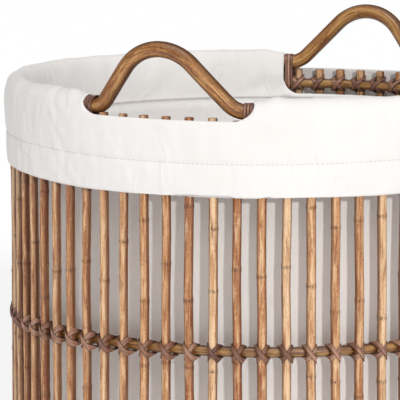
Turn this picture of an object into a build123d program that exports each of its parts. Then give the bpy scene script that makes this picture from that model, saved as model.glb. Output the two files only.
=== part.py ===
from build123d import *
import os
from math import asin, atan2, copysign, cos, degrees, radians, sin, sqrt, tan

os.makedirs("parts", exist_ok=True)

# Driving dimensions, in millimetres and degrees.
# The origin is on the floor under the middle of the basket; the two handles are at -Y and +Y.
stake_count = 70
stakes_per_node = 2
stake_circle_radius = 250.0
stake_diameter = 8.6
stake_top = 437.3

hoop_diameter = 10.0
hoop_heights = {"bottom": 27.0, "middle": 225.0, "top": 423.0}

pole_diameter = 15.0
rim_radius = 247.0
rim_height = 445.0

# The handles are bent by hand: seen from outside, the left foot is steeper and nearer the middle.
handle_apex_height = 523.5
handle_crown_height = 500.0
handle_crown_bend = 44.0
handle_apex_offset = -2.0
handle_foot_straight = 2.0
left_slope = 53.0
left_foot_bend = 14.0
left_foot_run = 68.2
right_slope = 46.0
right_foot_bend = 24.0
right_foot_run = 88.0

scarf_length = 40.0
scarf_gap = 0.1
joint_gaps = [-1.5, -0.5, 0.5, 1.5]
joint_turns = 3
joint_turn_pitch = 3.7

cane_thickness = 0.9
cane_width = 3.4
cane_clearance = 0.15
tie_slope = 50.0

left_lashing_angle = -15.9
right_lashing_angle = 20.1
foot_lashing_turns = 3
foot_lashing_width = 2.6
foot_lashing_pitch = 2.75
foot_lashing_clearance = 0.4

base_ring_radius = 223.9
base_rod_count = 19
base_rod_pitch = 24.0
base_rod_end_radius = 229.0
bearer_offsets = [-70.0, 70.0]
ring_lashing_steps = [7, 13, 22, 28]
ring_lashing_width = 3.0

cloth_thickness = 2.0
liner_top_radius = 230.0
liner_foot_radius = 225.0
liner_floor_height = 43.0
liner_seam_height = 410.0
collar_bend_start = 434.0
collar_bend_end = 446.0
collar_shoulder_radius = 237.0
collar_crest_height = 457.5
cuff_radius = 257.7
cuff_foot_height = 368.0
notch_left_angle = -17.8
notch_right_angle = 22.0
notch_inner_height = 413.0
notch_outer_height = 436.0

# Sizes that follow from the ones above.
stake_pitch = 360 / stake_count
stake_radius = stake_diameter / 2
hoop_radius = hoop_diameter / 2
pole_radius = pole_diameter / 2
touch_gap = 0.1
hoop_circle_radius = stake_circle_radius - stake_radius - hoop_radius - touch_gap
base_rod_height = hoop_heights["bottom"] + hoop_radius + stake_radius + touch_gap


def save(name, solids):
    """Write one named piece, or one group of equal pieces, as a STEP file."""
    shape = solids[0] if len(solids) == 1 else Compound(solids)
    export_step(shape, f"parts/{name}.step")


def at_angle(angle, radius, height):
    """A place on a circle about the basket's axis; angle 0 is the front, -Y."""
    return Rot(0, 0, angle) * Pos(0, -radius, height)


def stake_angle(index):
    return (index + 0.5) * stake_pitch


def stake(index):
    upright = Cylinder(stake_radius, stake_top, align=(Align.CENTER, Align.CENTER, Align.MIN))
    return at_angle(stake_angle(index), stake_circle_radius, 0) * upright


def hoop(circle_radius, height):
    return Pos(0, 0, height) * Torus(circle_radius, hoop_radius)


def foot_point(side, run):
    angle = run / rim_radius
    return side * rim_radius * sin(angle), -rim_radius * cos(angle)


def foot_corner(side, run, slope, bend):
    """Where a handle's slope would meet the rim's tangent without the foot bend; side is -1 or 1."""
    angle = run / rim_radius
    tangent = bend * tan(radians(slope / 2)) + handle_foot_straight
    x, y = foot_point(side, run)
    return x - side * tangent * cos(angle), y - tangent * sin(angle)


def handle_curve():
    """The arch of a handle: slopes joined by a crown bend, with a bend into the rim at each foot.

    The slopes would meet at the apex; the crown bend takes the curve down from there to about
    handle_crown_height. The apex lies a little outside the rim's circle, which puts the crown over it.
    """
    left_corner = foot_corner(-1, left_foot_run, left_slope, left_foot_bend)
    right_corner = foot_corner(1, right_foot_run, right_slope, right_foot_bend)
    share = (handle_apex_height - handle_crown_height) / (handle_apex_height - rim_height)
    corner_y = (left_corner[1] + right_corner[1]) / 2
    apex_y = (-rim_radius - corner_y * share) / (1 - share)
    points = [
        (*foot_point(-1, left_foot_run), rim_height),
        (*left_corner, rim_height),
        (handle_apex_offset, apex_y, handle_apex_height),
        (*right_corner, rim_height),
        (*foot_point(1, right_foot_run), rim_height),
    ]
    bends = [left_foot_bend, handle_crown_bend, right_foot_bend]
    return FilletPolyline(*points, radius=bends)


def rim_half():
    """Half of the rim with its handle, a little too long at both ends, before the scarf cuts."""
    left_foot = degrees(left_foot_run / rim_radius)
    right_foot = degrees(right_foot_run / rim_radius)
    quarter = 90 + degrees(scarf_length / rim_radius)
    right = CenterArc((0, 0, rim_height), rim_radius, right_foot - 90, quarter - right_foot)
    left = CenterArc((0, 0, rim_height), rim_radius, -90 - quarter, quarter - left_foot)
    path = Wire([*left.edges(), *handle_curve().edges(), *right.edges()])
    section = Plane(origin=path @ 0, z_dir=path % 0) * Circle(pole_radius)
    return sweep(section, path=path)


def scarf_plane(offset):
    lean = atan2(pole_diameter, scarf_length)
    normal = Vector(0, sin(lean), cos(lean))
    return Plane(origin=Vector(0, 0, rim_height) + normal * offset, z_dir=normal)


def rim_poles():
    """The front and back halves of the rim, cut to meet in a slanting scarf at each side."""
    half = rim_half()
    front = split(half, bisect_by=scarf_plane(-scarf_gap / 2), keep=Keep.BOTTOM)
    back = split(Rot(0, 0, 180) * half, bisect_by=scarf_plane(scarf_gap / 2), keep=Keep.TOP)
    return front, back


def band(half_length, low, high, width):
    """A closed loop of flat cane round a stack of two rods; the stack rises along Z."""
    inner = Rectangle(2 * half_length, high - low)
    outer = Rectangle(2 * (half_length + cane_thickness), high - low + 2 * cane_thickness)
    loop = Plane.XZ * Pos(0, (low + high) / 2) * (outer - inner)
    return extrude(loop, amount=width / 2, both=True)


def slant_tie():
    """A slanting loop round a rod lying along X and the thinner rod that lies on it along Y."""
    slope = radians(tie_slope)
    thin_reach = stake_radius / cos(slope) + cane_width / 2 * tan(slope)
    thick_reach = hoop_radius / sin(slope) + cane_width / 2 / tan(slope)
    reach = max(thin_reach, thick_reach) + cane_clearance
    low = -hoop_radius - cane_clearance
    high = hoop_radius + touch_gap + stake_diameter + cane_clearance
    return Rot(0, 0, tie_slope) * band(reach, low, high, cane_width)


def hoop_ties(height, tied_stakes):
    """A tie at each stake; the stake stands outside the hoop."""
    tie = Rot(90, 0, 0) * slant_tie()
    return [at_angle(stake_angle(index), hoop_circle_radius, height) * tie for index in tied_stakes]


def stakes_tied_to_top():
    """All the stakes but the four whose place is taken by a handle's lashing."""
    left_out = []
    for angle in [left_lashing_angle, right_lashing_angle]:
        beside_lashing = round(angle / stake_pitch - 0.5)
        left_out += [beside_lashing % stake_count, beside_lashing + stake_count // 2]
    return [index for index in range(stake_count) if index not in left_out]


def foot_turn():
    """One turn of the lashing that draws a handle's foot down to the top hoop, at angle 0."""
    hoop_centre = (hoop_circle_radius, hoop_heights["top"])
    pole_centre = (rim_radius, rim_height)
    inner = []
    outer = []
    for centre, radius in [(hoop_centre, hoop_radius), (pole_centre, pole_radius)]:
        slack = radius + foot_lashing_clearance
        inner += (Pos(*centre) * Circle(slack)).edges()
        outer += (Pos(*centre) * Circle(slack + cane_thickness)).edges()
    loop = make_hull(outer) - make_hull(inner)
    upright = Plane(origin=(0, 0, 0), x_dir=(0, -1, 0), z_dir=(-1, 0, 0))
    return extrude(upright * loop, amount=foot_lashing_width / 2, both=True)


def foot_lashing(middle_angle):
    turn = foot_turn()
    step = degrees(foot_lashing_pitch / rim_radius)
    first = middle_angle - step * (foot_lashing_turns - 1) / 2
    return [Rot(0, 0, first + step * count) * turn for count in range(foot_lashing_turns)]


def joint_lashing(side_angle):
    """Turns of cane round the scarf joint at one side of the rim, in the gaps between stakes."""
    slack = pole_radius + cane_clearance
    ring = Plane.YZ * (Circle(slack + cane_thickness) - Circle(slack))
    turn = extrude(ring, amount=cane_width / 2, both=True)
    step = degrees(joint_turn_pitch / rim_radius)
    turns = []
    for gap in joint_gaps:
        first = side_angle + gap * stake_pitch - step * (joint_turns - 1) / 2
        for count in range(joint_turns):
            turns.append(at_angle(first + step * count, rim_radius, rim_height) * turn)
    return turns


def rod_offsets():
    half = (base_rod_count - 1) / 2
    return [(index - half) * base_rod_pitch for index in range(base_rod_count)]


def rod_half_length(offset):
    reach = abs(offset) + stake_radius
    return sqrt(base_rod_end_radius**2 - reach**2)


def base_rods():
    """Parallel rods over the base ring, running from front to back."""
    rods = []
    for offset in rod_offsets():
        rod = Rot(90, 0, 0) * Cylinder(stake_radius, 2 * rod_half_length(offset))
        rods.append(Pos(offset, 0, base_rod_height) * rod)
    return rods


def base_bearers():
    """Cross bars under the rods, from one side of the base ring to the other."""
    bearers = []
    for offset in bearer_offsets:
        reach = abs(offset) + hoop_radius
        half_length = sqrt((base_ring_radius - hoop_radius - touch_gap) ** 2 - reach**2)
        bar = Rot(0, 90, 0) * Cylinder(hoop_radius, 2 * half_length)
        bearers.append(Pos(0, offset, hoop_heights["bottom"]) * bar)
    return bearers


def bearer_ties():
    tie = slant_tie()
    ties = []
    for bar_offset in bearer_offsets:
        for rod_offset in rod_offsets():
            if rod_half_length(rod_offset) > abs(bar_offset) + base_rod_pitch:
                ties.append(Pos(rod_offset, bar_offset, hoop_heights["bottom"]) * tie)
    return ties


def rod_end_ties():
    """One loop at each end of each rod, across the corner between the rod and the base ring."""
    low = -hoop_radius - cane_clearance
    high = hoop_radius + touch_gap + stake_diameter + cane_clearance
    ties = []
    for offset in rod_offsets():
        half_opening = (90 - degrees(asin(abs(offset) / base_ring_radius))) / 2
        spread = radians(half_opening)
        reach = hoop_radius / cos(spread) + cane_width / 2 * tan(spread) + cane_clearance
        loop = band(reach, low, high, cane_width)
        for end in [-1, 1]:
            along = end * sqrt(base_ring_radius**2 - offset**2)
            turn = copysign(1, offset) * degrees(atan2(along, abs(offset) + base_ring_radius))
            ties.append(Pos(offset, along, hoop_heights["bottom"]) * Rot(0, 0, turn) * loop)
    return ties


def ring_lashings():
    """Loops that tie the base ring to the bottom hoop, each half way between two stakes."""
    half_length = (hoop_circle_radius - base_ring_radius) / 2 + hoop_radius + cane_clearance
    half_height = hoop_radius + cane_clearance
    middle = (hoop_circle_radius + base_ring_radius) / 2
    loop = Rot(0, 0, 90) * band(half_length, -half_height, half_height, ring_lashing_width)
    places = []
    for step in ring_lashing_steps:
        for side in [-1, 1]:
            places.append(at_angle(side * step * stake_pitch, middle, hoop_heights["bottom"]))
    return [place * loop for place in places]


def ring_of(profile):
    return revolve(Plane.XZ * profile, axis=Axis.Z)


def liner_wall():
    """The liner's side, a little wider at the top than at the foot."""
    half = cloth_thickness / 2
    profile = Polygon(
        (liner_foot_radius - half, liner_floor_height),
        (liner_foot_radius + half, liner_floor_height),
        (liner_top_radius + half, liner_seam_height),
        (liner_top_radius - half, liner_seam_height),
        align=None,
    )
    return ring_of(profile)


def liner_base():
    radius = liner_foot_radius - cloth_thickness / 2 - touch_gap
    disc = Cylinder(radius, cloth_thickness, align=(Align.CENTER, Align.CENTER, Align.MIN))
    return Pos(0, 0, liner_floor_height) * disc


def collar_edge(out):
    """One face of the collar in section, a distance out from the middle of its cloth."""
    shoulder = (collar_shoulder_radius - out, collar_bend_end)
    crest = ((collar_shoulder_radius + cuff_radius) / 2, collar_crest_height + out)
    cuff_top = (cuff_radius + out, collar_bend_end)
    seam = (liner_top_radius - out, liner_seam_height)
    bend = (liner_top_radius - out, collar_bend_start)
    inside = Polyline(seam, bend, shoulder)
    over = ThreePointArc(shoulder, crest, cuff_top)
    outside = Line(cuff_top, (cuff_radius + out, cuff_foot_height))
    return [*inside.edges(), over, outside]


def collar_section():
    half = cloth_thickness / 2
    inner = collar_edge(-half)
    outer = collar_edge(half)
    seam_inner = (liner_top_radius - half, liner_seam_height)
    seam_outer = (liner_top_radius + half, liner_seam_height)
    foot_inner = (cuff_radius - half, cuff_foot_height)
    foot_outer = (cuff_radius + half, cuff_foot_height)
    return make_face([*inner, *outer, Line(seam_inner, seam_outer), Line(foot_inner, foot_outer)])


def notch_cutter():
    """The space taken out of the collar at the front handle."""
    notch_angle = notch_right_angle - notch_left_angle
    sky = collar_crest_height + pole_diameter
    width = pole_diameter * 2
    inside = Pos(rim_radius - width / 2, (notch_inner_height + sky) / 2)
    inside_face = inside * Rectangle(width, sky - notch_inner_height)
    outside = Pos(rim_radius + width / 2, (notch_outer_height + sky) / 2)
    outside_face = outside * Rectangle(width, sky - notch_outer_height)
    section = Plane.XZ * (inside_face + outside_face)
    wedge = revolve(section, axis=Axis.Z, revolution_arc=notch_angle)
    return Rot(0, 0, notch_left_angle - 90) * wedge


def liner_collar():
    """The liner's top band, turned out over the rim, with a notch for each handle."""
    cutter = notch_cutter()
    collar = ring_of(collar_section())
    return collar - cutter - Rot(0, 0, 180) * cutter


def build_frame():
    for number in range(stake_count // stakes_per_node):
        first = number * stakes_per_node
        group = [stake(index) for index in range(first, first + stakes_per_node)]
        save(f"stakes_{number + 1:02d}", group)
    for level, height in hoop_heights.items():
        tied = stakes_tied_to_top() if level == "top" else range(stake_count)
        save(f"{level}_hoop", [hoop(hoop_circle_radius, height)])
        save(f"{level}_hoop_ties", hoop_ties(height, tied))
    front, back = rim_poles()
    print("the handles reach", round(front.bounding_box().max.Z, 1), "mm high")
    save("rim_pole_front", [front])
    save("rim_pole_back", [back])
    for end, middle in [("front", 0), ("back", 180)]:
        save(f"handle_lashing_{end}_left", foot_lashing(middle + left_lashing_angle))
        save(f"handle_lashing_{end}_right", foot_lashing(middle + right_lashing_angle))
    save("rim_joint_lashing_left", joint_lashing(-90))
    save("rim_joint_lashing_right", joint_lashing(90))


def build_base():
    save("base_ring", [hoop(base_ring_radius, hoop_heights["bottom"])])
    save("base_rods", base_rods())
    save("base_bearers", base_bearers())
    save("base_bearer_ties", bearer_ties())
    save("base_rod_ties", rod_end_ties())
    save("base_ring_lashings", ring_lashings())


def build_liner():
    save("liner_wall", [liner_wall()])
    save("liner_base", [liner_base()])
    save("liner_collar", [liner_collar()])


build_frame()
build_base()
build_liner()
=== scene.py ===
import bpy
import bmesh
import math
import random
from mathutils import Matrix, Vector, noise


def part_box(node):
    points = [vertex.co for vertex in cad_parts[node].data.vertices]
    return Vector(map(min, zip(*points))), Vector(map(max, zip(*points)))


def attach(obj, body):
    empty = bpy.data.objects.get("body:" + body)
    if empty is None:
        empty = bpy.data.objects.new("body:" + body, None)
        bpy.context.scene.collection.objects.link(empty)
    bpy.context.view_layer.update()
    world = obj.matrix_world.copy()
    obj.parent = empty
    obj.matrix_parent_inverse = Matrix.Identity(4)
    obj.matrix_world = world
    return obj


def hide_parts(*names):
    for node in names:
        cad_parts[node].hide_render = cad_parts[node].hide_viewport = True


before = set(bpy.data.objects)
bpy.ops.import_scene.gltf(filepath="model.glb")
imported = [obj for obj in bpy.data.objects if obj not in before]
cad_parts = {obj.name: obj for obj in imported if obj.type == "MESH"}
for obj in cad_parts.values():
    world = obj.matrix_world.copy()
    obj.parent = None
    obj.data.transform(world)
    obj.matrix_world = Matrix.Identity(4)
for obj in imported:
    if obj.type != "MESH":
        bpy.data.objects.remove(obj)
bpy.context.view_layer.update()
mm = 0.001
print("frame loaded")


# places read from the frame

def middleHeight(node):
    low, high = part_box(node)
    return (low.z + high.z) / 2


def ringRadius(node):
    low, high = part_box(node)
    return (high.x - low.x) / 2 - (high.z - low.z) / 2


def halfThickness(node):
    low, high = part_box(node)
    return (high.z - low.z) / 2


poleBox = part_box("rim_pole_front")
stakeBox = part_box("stakes_01")
place = {
    "stakeCount": 2 * sum(name.startswith("stakes_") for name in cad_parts),
    "stakeTop": stakeBox[1].z,
    "stakeRadius": 4.3 * mm,
    "hoopRadius": halfThickness("middle_hoop"),
    "hoopCircle": ringRadius("middle_hoop"),
    "rodHeight": middleHeight("base_rods"),
    "ringCircle": ringRadius("base_ring"),
    "poleRadius": 7.5 * mm,
}
place["stakeCircle"] = place["hoopCircle"] + place["hoopRadius"] + place["stakeRadius"] + 0.1 * mm
place["poleCircle"] = poleBox[1].x - place["poleRadius"]
place["poleHeight"] = poleBox[0].z + place["poleRadius"]
hoopHeight = {level: middleHeight(level + "_hoop") for level in ("bottom", "middle", "top")}
stakeStep = 2 * math.pi / place["stakeCount"]


def stakeAngle(index):
    return (index + 0.5) * stakeStep


def onCircle(angle, radius, height):
    return Vector((radius * math.sin(angle), -radius * math.cos(angle), height))


def smoothStep(low, high, value):
    share = min(1.0, max(0.0, (value - low) / (high - low)))
    return share * share * (3 - 2 * share)


# camera, light and floor

view = {
    "azimuth": 24.8,        # degrees, from the front towards the right
    "distance": 3.018,      # metres from the basket's axis
    "height": 0.748,
    "turn": 1.31,           # degrees to the left of the axis
    "tilt": 7.86,           # degrees down
    "lens": 279.1,
    "sensor": 36,
    "farEnd": 60,           # metres that the camera sees
}


def makeCamera():
    azimuth = math.radians(view["azimuth"])
    data = bpy.data.cameras.new("camera")
    data.lens = view["lens"]
    data.sensor_width = view["sensor"]
    data.clip_end = view["farEnd"]
    camera = bpy.data.objects.new("camera", data)
    camera.location = onCircle(azimuth, view["distance"], view["height"])
    camera.rotation_euler = (math.radians(90 - view["tilt"]), 0, azimuth + math.radians(view["turn"]))
    bpy.context.scene.collection.objects.link(camera)
    bpy.context.scene.camera = camera


light = {
    "keyAzimuth": 43, "keyElevation": 16, "keyStrength": 1.15, "keySoftness": 3,
    "fillAzimuth": 20, "fillElevation": 66, "fillStrength": 1.45, "fillSoftness": 50,
    "worldStrength": 0.26, "floorSize": 60, "floorColour": (0.96, 0.96, 0.96, 1), "floorGlow": 0.27,
}


def makeSun(name, azimuth, elevation, strength, softness):
    data = bpy.data.lights.new(name, "SUN")
    data.energy = strength
    data.angle = math.radians(softness)
    lamp = bpy.data.objects.new(name, data)
    lamp.rotation_euler = (math.radians(90 - elevation), 0, math.radians(azimuth))
    bpy.context.scene.collection.objects.link(lamp)


def makeStudio():
    for lamp in ("key", "fill"):
        makeSun(lamp, *(light[lamp + part] for part in ("Azimuth", "Elevation", "Strength", "Softness")))
    world = bpy.data.worlds.new("studio")
    world.use_nodes = True
    world.node_tree.nodes["Background"].inputs["Color"].default_value = (1, 1, 1, 1)
    world.node_tree.nodes["Background"].inputs["Strength"].default_value = light["worldStrength"]
    bpy.context.scene.world = world
    bpy.context.scene.view_settings.view_transform = "Standard"
    bm = bmesh.new()
    bmesh.ops.create_grid(bm, x_segments=1, y_segments=1, size=light["floorSize"] / 2)
    mesh = bpy.data.meshes.new("floor")
    bm.to_mesh(mesh)
    bm.free()
    floor = bpy.data.objects.new("floor", mesh)
    bpy.context.scene.collection.objects.link(floor)
    floorPaint = bpy.data.materials.new("floorPaint")
    floorPaint.use_nodes = True
    shader = floorPaint.node_tree.nodes["Principled BSDF"]
    shader.inputs["Base Color"].default_value = light["floorColour"]
    shader.inputs["Roughness"].default_value = 0.9
    shader.inputs["Emission Color"].default_value = (1, 1, 1, 1)
    shader.inputs["Emission Strength"].default_value = light["floorGlow"]
    mesh.materials.append(floorPaint)


makeCamera()
makeStudio()
print("camera and studio ready")


# materials

def newMaterial(name):
    material = bpy.data.materials.new(name)
    material.use_nodes = True
    return material, material.node_tree, material.node_tree.nodes["Principled BSDF"]


def addNode(tree, kind, **settings):
    node = tree.nodes.new(kind)
    for key, value in settings.items():
        setattr(node, key, value)
    return node


def readAttribute(tree, name, output):
    return addNode(tree, "ShaderNodeAttribute", attribute_name=name).outputs[output]


def addNoise(tree, vector, stretch, detail=3.0, roughness=0.55, distortion=0.0):
    mapping = addNode(tree, "ShaderNodeMapping")
    mapping.inputs["Scale"].default_value = stretch
    tree.links.new(vector, mapping.inputs["Vector"])
    grain = addNode(tree, "ShaderNodeTexNoise")
    grain.inputs["Scale"].default_value = 1.0
    grain.inputs["Detail"].default_value = detail
    grain.inputs["Roughness"].default_value = roughness
    grain.inputs["Distortion"].default_value = distortion
    tree.links.new(mapping.outputs["Vector"], grain.inputs["Vector"])
    return grain.outputs["Fac"]


def addRamp(tree, value, stops):
    ramp = addNode(tree, "ShaderNodeValToRGB")
    elements = ramp.color_ramp.elements
    while len(elements) < len(stops):
        elements.new(0.5)
    for element, (position, colour) in zip(elements, stops):
        element.position = position
        element.color = (*colour, 1)
    tree.links.new(value, ramp.inputs["Fac"])
    return ramp.outputs["Color"]


def addMix(tree, factor, first, second, blend="MIX"):
    mix = addNode(tree, "ShaderNodeMix", data_type="RGBA", blend_type=blend)
    if isinstance(factor, (int, float)):
        mix.inputs["Factor"].default_value = factor
    else:
        tree.links.new(factor, mix.inputs["Factor"])
    for socket, value in ((mix.inputs[6], first), (mix.inputs[7], second)):
        if isinstance(value, tuple):
            socket.default_value = (*value, 1)
        else:
            tree.links.new(value, socket)
    return mix.outputs[2]


def addRange(tree, value, fromLow, fromHigh, toLow, toHigh):
    node = addNode(tree, "ShaderNodeMapRange", clamp=True)
    for key, number in zip(("From Min", "From Max", "To Min", "To Max"), (fromLow, fromHigh, toLow, toHigh)):
        node.inputs[key].default_value = number
    tree.links.new(value, node.inputs["Value"])
    return node.outputs["Result"]


def addMath(tree, operation, first, second):
    node = addNode(tree, "ShaderNodeMath", operation=operation)
    for socket, value in zip(node.inputs, (first, second)):
        if isinstance(value, (int, float)):
            socket.default_value = value
        else:
            tree.links.new(value, socket)
    return node.outputs["Value"]


def addBump(tree, height, strength, distance, below=None):
    bump = addNode(tree, "ShaderNodeBump")
    bump.inputs["Strength"].default_value = strength
    bump.inputs["Distance"].default_value = distance
    tree.links.new(height, bump.inputs["Height"])
    if below is not None:
        tree.links.new(below, bump.inputs["Normal"])
    return bump.outputs["Normal"]


def addTone(tree, pattern, amount):
    # shifts a pattern by the piece's own tone, so that neighbouring canes differ
    offMiddle = addMath(tree, "SUBTRACT", readAttribute(tree, "tone", "Fac"), 0.5)
    return addMath(tree, "ADD", pattern, addMath(tree, "MULTIPLY", offMiddle, amount))


# each finish's flank value sets how dark the painted shade on the cane's flanks is
caneFinish = {
    "rattanStake": {
        "pale": (0.82, 0.56, 0.33), "warm": (0.56, 0.255, 0.090), "red": (0.27, 0.072, 0.016),
        "dark": (0.045, 0.012, 0.004), "speckle": 0.30, "roughness": (0.34, 0.54), "coat": 0.22, "bump": 0.6,
        "flankShade": 0.88,
    },
    "rattanHoop": {
        "pale": (0.52, 0.29, 0.095), "warm": (0.28, 0.115, 0.030), "red": (0.11, 0.034, 0.010),
        "dark": (0.02, 0.006, 0.002), "speckle": 0.20, "roughness": (0.32, 0.50), "coat": 0.3, "bump": 0.6,
        "flankShade": 0.9,
    },
    "rattanPole": {
        "pale": (0.64, 0.36, 0.125), "warm": (0.33, 0.120, 0.024), "red": (0.13, 0.034, 0.006),
        "dark": (0.02, 0.006, 0.002), "speckle": 0.32, "roughness": (0.30, 0.52), "coat": 0.18, "bump": 1.0,
        "flankShade": 0.88,
    },
}


def makeCane(name):
    finish = caneFinish[name]
    material, tree, shader = newMaterial(name)
    grain = readAttribute(tree, "grain", "Vector")
    joint = readAttribute(tree, "joint", "Fac")
    streak = addNoise(tree, grain, (620, 620, 26), 4.0, 0.62)
    patch = addNoise(tree, grain, (210, 210, 34), 4.0, 0.6, 0.5)
    fleck = addNoise(tree, grain, (1300, 1300, 330), 3.0, 0.6)
    scuff = addNoise(tree, grain, (900, 900, 420), 4.0, 0.7, 0.3)
    shifted = addTone(tree, streak, 0.34)
    colour = addRamp(tree, shifted, [(0.34, finish["pale"]), (0.53, finish["warm"]), (0.70, finish["red"])])
    colour = addMix(tree, addRange(tree, patch, 0.52, 0.70, 0.0, 0.85), colour, finish["red"])
    colour = addMix(tree, addRange(tree, patch, 0.34, 0.46, 0.6, 0.0), colour, finish["pale"])
    colour = addMix(tree, addRange(tree, fleck, 0.60, 0.68, 0.0, 0.65), colour, finish["dark"])
    # painted shade: the cane's flanks are darkened towards half its red, standing in for the dark edges that
    # light leaves on a round cane; the middle band outside that painted shade is rubbed paler in worn speckles
    flankShade = addRange(tree, readAttribute(tree, "edge", "Fac"), 1.1, 1.95, 0.0, finish["flankShade"])
    colour = addMix(tree, flankShade, colour, tuple(channel * 0.5 for channel in finish["red"]))
    worn = tuple(min(1.0, channel * 1.15 + 0.12) for channel in finish["pale"])
    outsideFlankShade = addMath(tree, "SUBTRACT", 1.0, flankShade)
    rubbed = addMath(tree, "MULTIPLY", addRange(tree, scuff, 0.54, 0.64, 0.0, finish["speckle"]), outsideFlankShade)
    colour = addMix(tree, rubbed, colour, worn)
    brokenJoint = addMath(tree, "MULTIPLY", joint, addRange(tree, fleck, 0.42, 0.58, 0.12, 1.0))
    colour = addMix(tree, brokenJoint, colour, finish["dark"])
    tree.links.new(colour, shader.inputs["Base Color"])
    low, high = finish["roughness"]
    tree.links.new(addRange(tree, scuff, 0.3, 0.7, low, high), shader.inputs["Roughness"])
    fibres = addBump(tree, streak, finish["bump"], 0.35 * mm)
    tree.links.new(addBump(tree, scuff, finish["bump"], 0.16 * mm, fibres), shader.inputs["Normal"])
    shader.inputs["Coat Weight"].default_value = finish["coat"]
    shader.inputs["Coat Roughness"].default_value = 0.2
    return material


binding = {
    "pale": (0.50, 0.275, 0.185), "warm": (0.25, 0.105, 0.062), "deep": (0.09, 0.032, 0.018),
    # edge is a near-black painted shade colour for each strip's two edges, standing in for the shadow where the
    # strip meets the cane
    "edge": (0.010, 0.004, 0.003), "roughness": 0.44,
}


def makeBinding():
    material, tree, shader = newMaterial("caneBinding")
    grain = readAttribute(tree, "grain", "Vector")
    fibre = addNoise(tree, grain, (2600, 2600, 60), 3.0, 0.6)
    patch = addNoise(tree, grain, (300, 300, 90), 2.0, 0.5)
    stops = [(0.30, binding["pale"]), (0.52, binding["warm"]), (0.75, binding["deep"])]
    colour = addRamp(tree, addTone(tree, fibre, 0.35), stops)
    colour = addMix(tree, addRange(tree, patch, 0.52, 0.70, 0.0, 0.6), colour, binding["deep"])
    edgeShadeShare = readAttribute(tree, "edge", "Fac")
    # painted shade: each strip darkens to near black towards its two edges, standing in for the shadow where it
    # meets the cane
    rim = addRange(tree, edgeShadeShare, 0.72, 0.90, 0.0, 0.95)
    colour = addMix(tree, rim, colour, binding["edge"])
    tree.links.new(colour, shader.inputs["Base Color"])
    shader.inputs["Roughness"].default_value = binding["roughness"]
    shader.inputs["Coat Weight"].default_value = 0.2
    tree.links.new(addBump(tree, fibre, 0.5, 0.2 * mm), shader.inputs["Normal"])
    return material


cotton = {
    "white": (0.895, 0.868, 0.845), "shade": (0.85, 0.82, 0.795),
    "threadPitch": 0.55 * mm, "roughness": 0.85, "sheen": 0.2, "creaseDepth": 0.9 * mm,
}


def makeCotton():
    material, tree, shader = newMaterial("cottonCloth")
    flat = addNode(tree, "ShaderNodeUVMap", uv_map="cloth").outputs["UV"]
    threads = []
    for direction in ("X", "Y"):
        wave = addNode(tree, "ShaderNodeTexWave", wave_type="BANDS", bands_direction=direction)
        wave.inputs["Scale"].default_value = 0.314 / cotton["threadPitch"]
        wave.inputs["Distortion"].default_value = 1.2
        wave.inputs["Detail"].default_value = 1.0
        wave.inputs["Detail Scale"].default_value = 0.4
        tree.links.new(flat, wave.inputs["Vector"])
        threads.append(wave.outputs["Fac"])
    weave = addMath(tree, "ADD", threads[0], threads[1])
    slub = addNoise(tree, flat, (160, 900, 1), 3.0, 0.6)
    soil = addNoise(tree, flat, (9, 9, 1), 3.0, 0.5)
    colour = addMix(tree, addRange(tree, soil, 0.35, 0.70, 0.0, 1.0), cotton["white"], cotton["shade"])
    colour = addMix(tree, addRange(tree, slub, 0.60, 0.72, 0.0, 0.35), colour, cotton["shade"])
    tree.links.new(colour, shader.inputs["Base Color"])
    shader.inputs["Roughness"].default_value = cotton["roughness"]
    shader.inputs["Sheen Weight"].default_value = cotton["sheen"]
    shader.inputs["Sheen Roughness"].default_value = 0.5
    # thin creases run where a wandering noise crosses its middle value, and only in some places
    wander = addNoise(tree, flat, (26, 12, 1), 2.0, 0.5, 0.5)
    away = addMath(tree, "ABSOLUTE", addMath(tree, "SUBTRACT", wander, 0.5), 0.0)
    ridge = addRange(tree, away, 0.0, 0.03, 1.0, 0.0)
    where = addRange(tree, addNoise(tree, flat, (13, 13, 1), 1.0, 0.5), 0.48, 0.60, 0.0, 1.0)
    creases = addBump(tree, addMath(tree, "MULTIPLY", ridge, where), 0.45, cotton["creaseDepth"])
    soft = addBump(tree, addNoise(tree, flat, (48, 48, 1), 4.0, 0.55), 0.30, 2.2 * mm, creases)
    tree.links.new(addBump(tree, weave, 0.25, 0.12 * mm, soft), shader.inputs["Normal"])
    return material


def makeThread():
    material, tree, shader = newMaterial("hemThread")
    position = addNode(tree, "ShaderNodeTexCoord").outputs["Object"]
    twist = addNoise(tree, position, (2500, 2500, 2500), 2.0, 0.5)
    colour = addMix(tree, addRange(tree, twist, 0.4, 0.6, 0.0, 1.0), (0.74, 0.73, 0.71), (0.60, 0.59, 0.57))
    tree.links.new(colour, shader.inputs["Base Color"])
    shader.inputs["Roughness"].default_value = 0.8
    return material


paint = {name: makeCane(name) for name in caneFinish}
paint["binding"] = makeBinding()
paint["cotton"] = makeCotton()
paint["thread"] = makeThread()
print("materials ready")


# rods and strips

def newCaneMesh():
    bm = bmesh.new()
    bm.verts.layers.float_vector.new("grain")
    bm.verts.layers.float.new("joint")
    bm.verts.layers.float.new("tone")
    bm.verts.layers.float.new("edge")
    return bm


def frameAt(point, along, outward):
    along = along.normalized()
    side = along.cross(outward).normalized()
    matrix = Matrix((side.cross(along), side, along)).transposed().to_4x4()
    matrix.translation = point
    return matrix


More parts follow.
